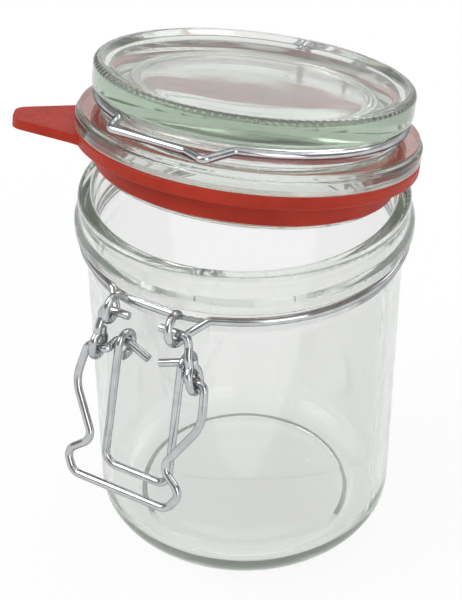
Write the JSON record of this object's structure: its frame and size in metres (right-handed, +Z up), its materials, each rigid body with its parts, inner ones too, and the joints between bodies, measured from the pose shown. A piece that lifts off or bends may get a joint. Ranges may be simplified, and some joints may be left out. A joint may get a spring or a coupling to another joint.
{
  "type": "clip-top preserving jar",
  "caption": "Empty round glass preserving jar with a hinged thick glass lid, a flat rubber seal with a pull tab, and a wire clasp with a thumb lever and bail.",
  "frame": {"origin": "middle of the foot ring, on the jar's axis, in the plane the jar stands on", "axes": "+Z up along the jar's axis, -Y towards the clasp, +Y towards the lid's hinge, X along the hinge's axis"},
  "size_m": [0.0946, 0.113, 0.138],
  "materials": {
    "glass": "clear, glossy, faintly green at the edges",
    "wire": "bright zinc-plated drawn wire",
    "seal": "smooth matte moulded rubber"
  },
  "bodies": {
    "jar": {"jar_glass": "glass", "neck_wire": "wire"},
    "lid": {"lid_glass": "glass", "lid_wire": "wire", "seal_ring": "seal"},
    "links": {"link_right": "wire", "link_left": "wire"},
    "lever": {"thumb_lever": "wire"},
    "bail": {"bail": "wire"}
  },
  "joints": [
    {"name": "lid_hinge", "type": "hinge", "parent": "jar", "child": "lid", "pos_m": [0, 0.0459, 0.0999], "axis": [-1, 0, 0], "range_deg": [-12.7, 85]},
    {"name": "link_pivot", "type": "hinge", "parent": "jar", "child": "links", "pos_m": [0, -0.0463, 0.08645], "axis": [-1, 0, 0], "range_deg": [0, 30]},
    {"name": "lever_pivot", "type": "hinge", "parent": "links", "child": "lever", "pos_m": [0, -0.04906, 0.07642], "axis": [-1, 0, 0], "range_deg": [-8, 125]},
    {"name": "bail_pivot", "type": "hinge", "parent": "lever", "child": "bail", "pos_m": [0, -0.04451, 0.07673], "axis": [-1, 0, 0], "range_deg": [-12, 6]}
  ]
}
